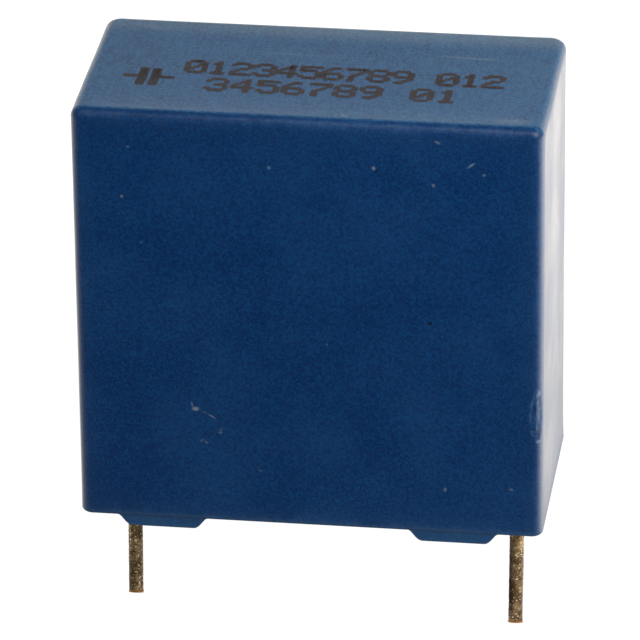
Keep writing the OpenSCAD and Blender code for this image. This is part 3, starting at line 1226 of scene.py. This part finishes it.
# Near the part more of the matt floor shows, and with it the shadow: two distances, two shares
PLAIN_WHITE_FROM = (25.0, 60.0, 0.84, 1.0)
FLOOR_GLOSS_COLOUR = colour(1.0, 0.945, 0.85)

# How the floor and the surround look in the part's gloss. Each row is one smooth change: it starts
# and ends at the first two values and goes from the third to the fourth, or from 0 to 1.
# Turns are half turns about the part's right front edge: 0 in front, 0.5 to the right, 1 behind.
RIGHT_LEVEL = 5.4
RISES_TO_RIGHT = (0.19, 0.58, 0.0, RIGHT_LEVEL)
FALLS_BEHIND = (0.66, 0.88, 1.0, 0.34)
DIPS_BEHIND = (0.948, 0.960, 0.0, 0.085)
CLEARS_BEHIND = (0.962, 0.976, 0.0, 0.2172)
FALLS_FROM_LEFT = (-0.62, -0.24, 1.9, 0.02)
BRIGHTER_FAR_OFF = (10.0, 50.0, 0.88, 1.15)
TURN_CENTRE = (HALF_L - 0.9, -HALF_T + 0.4)
# The floor close by, which lies in the part's shade, along X, along Y and out from the part
NEAR_RIGHT = (5.6, 7.3, 0.04, 1.1)
NEAR_LEFT = (-7.7, -7.3, 0.30, 0.80)
NEAR_LEFT_FADES = (-5.5, -1.5, 1.0, 0.05)
NEAR_FADES = (3.0, 9.0, 1.0, 0.4)
IN_FRONT = (-HALF_T - 0.4, -HALF_T + 1.0, 0.9, 0.0)
IN_FRONT_FROM_LEFT = (-7.2, -5.6, 0.1, 1.0)
IN_FRONT_FADES = (3.0, 8.0, 1.0, 0.2)
OUT_OF_SHADE = (9.0, 12.0)
OUT_OF_SHADE_ASIDE = (3.0, 7.0)
ASIDE = (0.25, 0.50)
# The surround from front to back, and from low to high
WORLD_BEHIND = (-0.35, 0.45, 0.05, 1.0)
WORLD_LOW = (0.05, 0.34, 4.5, 1.0)
WORLD_HIGH = (0.50, 0.85, 0.40, 0.04)

# Each lamp's direction from the part, its distance, its two sizes and its radiance
KEY_LAMP = ((0.75, -0.8, 0.95), 75.0, (60.0, 50.0), 4.9)
FRONT_STRIP = ((-0.1, -0.6, 0.83), 250.0, (220.0, 50.0), 1.1)


def far_reflection(shop, place, turn):
    """How bright the open floor is in the part's gloss, by its turn and distance."""
    falling = shop.math("SUBTRACT", shop.ramp(turn, *FALLS_BEHIND), shop.ramp(turn, *DIPS_BEHIND))
    falling = shop.math("ADD", falling, shop.ramp(turn, *CLEARS_BEHIND))
    right = shop.math("MULTIPLY", shop.ramp(turn, *RISES_TO_RIGHT), falling)
    level = shop.math("MAXIMUM", right, shop.ramp(turn, *FALLS_FROM_LEFT))
    distance = shop.vector("DISTANCE", place, (*TURN_CENTRE, FLOOR_Z))
    return shop.math("MULTIPLY", level, shop.ramp(distance, *BRIGHTER_FAR_OFF))


def near_reflection(shop, where, beyond):
    """How bright the floor is in the part's gloss close round the part and under it."""
    left = shop.math("MULTIPLY", shop.ramp(where["X"], *NEAR_LEFT), shop.ramp(where["X"], *NEAR_LEFT_FADES))
    sides = shop.math("MAXIMUM", shop.ramp(where["X"], *NEAR_RIGHT), left)
    front = shop.math("MULTIPLY", shop.ramp(where["Y"], *IN_FRONT),
                      shop.ramp(where["X"], *IN_FRONT_FROM_LEFT))
    return shop.math("MAXIMUM", shop.math("MULTIPLY", sides, shop.ramp(beyond, *NEAR_FADES)),
                     shop.math("MULTIPLY", front, shop.ramp(beyond, *IN_FRONT_FADES)))


def floor_reflection(shop, place):
    """How bright the floor is in the part's gloss, from its shade near by to the open floor."""
    where = shop.parts(place)
    across = shop.math("SUBTRACT", where["X"], TURN_CENTRE[0])
    ahead = shop.math("SUBTRACT", TURN_CENTRE[1], where["Y"])
    turn = shop.math("DIVIDE", shop.math("ARCTAN2", across, ahead), math.pi)
    beyond = shop.math("MAXIMUM", shop.math("SUBTRACT", shop.math("ABSOLUTE", where["X"]), HALF_L),
                       shop.math("SUBTRACT", shop.math("ABSOLUTE", where["Y"]), HALF_T))
    aside = shop.math("MULTIPLY", shop.ramp(beyond, *OUT_OF_SHADE_ASIDE),
                      shop.ramp(shop.math("ABSOLUTE", turn), *ASIDE))
    clear = shop.math("MAXIMUM", shop.ramp(beyond, *OUT_OF_SHADE), aside)
    far = shop.math("MULTIPLY", far_reflection(shop, place, turn), clear)
    near = shop.math("MULTIPLY", near_reflection(shop, where, beyond), shop.math("SUBTRACT", 1.0, clear))
    return shop.math("ADD", far, near)


def floor_material():
    """Pale matt floor: white to the camera but for a share of soft shadow, and its own level in gloss."""
    material, shop = new_material("pale_floor")
    place = millimetres(shop)
    low, high = (colour(*[FLOOR_ALBEDO + mottle] * 3) for mottle in (-FLOOR_MOTTLE, FLOOR_MOTTLE))
    matt = shop.node("ShaderNodeBsdfDiffuse", {"Color": shop.mix(shop.noise(place, 0.02), low, high)})
    seen = shop.node("ShaderNodeEmission", {"Color": WHITE, "Strength": FLOOR_SEEN})
    level = floor_reflection(shop, place)
    mirrored = shop.node("ShaderNodeEmission", {"Color": FLOOR_GLOSS_COLOUR, "Strength": level})
    path = shop.node("ShaderNodeLightPath").outputs
    share = shop.ramp(shop.vector("LENGTH", place), *PLAIN_WHITE_FROM)
    to_camera = shop.math("MULTIPLY", path["Is Camera Ray"], share)
    plain = shop.node("ShaderNodeMixShader", {0: to_camera, 1: matt.outputs[0], 2: seen.outputs[0]})
    surface = shop.node("ShaderNodeMixShader",
                        {0: path["Is Glossy Ray"], 1: plain.outputs[0], 2: mirrored.outputs[0]})
    shop.node("ShaderNodeOutputMaterial", {"Surface": surface.outputs[0]})
    return material


def lay_floor():
    """A wide pale floor that shows as plain white and still carries the part's soft shadow."""
    turns = [2 * math.pi * i / FLOOR_SIDES for i in range(FLOOR_SIDES)]
    points = [Vector((FLOOR_R * math.cos(turn), FLOOR_R * math.sin(turn), FLOOR_Z)) for turn in turns]
    floor = mesh_object("floor", points, [tuple(range(FLOOR_SIDES))], floor_material(), smooth=False)


def fill_world():
    """A plain white surround: full white to the camera, a softer level as light, its own in gloss."""
    world = bpy.data.worlds.new("surround")
    bpy.context.scene.world = world
    world.use_nodes = True
    world.node_tree.nodes.clear()
    shop = Shop(world.node_tree)
    path = shop.node("ShaderNodeLightPath").outputs
    facing = shop.parts(shop.node("ShaderNodeTexCoord").outputs["Generated"])
    level = shop.math("MULTIPLY", shop.ramp(facing["Y"], *WORLD_BEHIND), shop.ramp(facing["Z"], *WORLD_LOW))
    mirrored = shop.math("MULTIPLY", level, shop.ramp(facing["Z"], *WORLD_HIGH))
    change = shop.math("SUBTRACT", mirrored, WORLD_LEVEL)
    level = shop.math("MULTIPLY_ADD", path["Is Glossy Ray"], change, WORLD_LEVEL)
    level = shop.math("MULTIPLY_ADD", path["Is Camera Ray"], 1.0 - WORLD_LEVEL, level)
    back = shop.node("ShaderNodeBackground", {"Color": WHITE, "Strength": level})
    shop.node("ShaderNodeOutputWorld", {"Surface": back.outputs[0]})


def soft_lamp(name, direction, distance, size, radiance):
    """A soft rectangular lamp that faces the part; radiance 1 is as bright as white paper."""
    data = bpy.data.lights.new(name, "AREA")
    data.shape = "RECTANGLE"
    data.size, data.size_y = size[0] * MM, size[1] * MM
    data.energy = radiance * math.pi * data.size * data.size_y
    lamp = bpy.data.objects.new(name, data)
    bpy.context.scene.collection.objects.link(lamp)
    away = Vector(direction).normalized()
    lamp.matrix_world = away.to_track_quat("Z", "Y").to_matrix().to_4x4()
    lamp.location = (away * distance + Vector((0, 0, TOP_Z / 2))) * MM


# ---- Making it all

case = case_piece(case_material())
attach(case, "root")
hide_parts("case")

marks = print_piece(ink_material())
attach(marks, "root")

seal = epoxy_piece(epoxy_material())
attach(seal, "root")
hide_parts("potting_resin")

# Each lead's piece, its CAD node, its side and the seed of its lumps
LEADS = [("left_lead", "lead_left", -1, 1), ("right_lead", "lead_right", 1, 2)]
tinned = tinned_material()
for lead_name, lead_node, lead_side, lead_seed in LEADS:
    lead = lead_piece(lead_name, lead_node, lead_side, tinned, lead_seed)
    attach(lead, "root")
    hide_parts(lead_node)

# The nodes that stay from the CAD get their finished materials
sprayed = sprayed_material()
finishes = {"film_winding": film_material(), "end_spray_left": sprayed, "end_spray_right": sprayed}
for finished_node, finish in finishes.items():
    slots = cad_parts[finished_node].data.materials
    slots.clear()
    slots.append(finish)

lay_floor()
fill_world()
soft_lamp("key_lamp", *KEY_LAMP)
soft_lamp("front_strip", *FRONT_STRIP)
place_camera()

bpy.context.scene.view_settings.view_transform = "Standard"
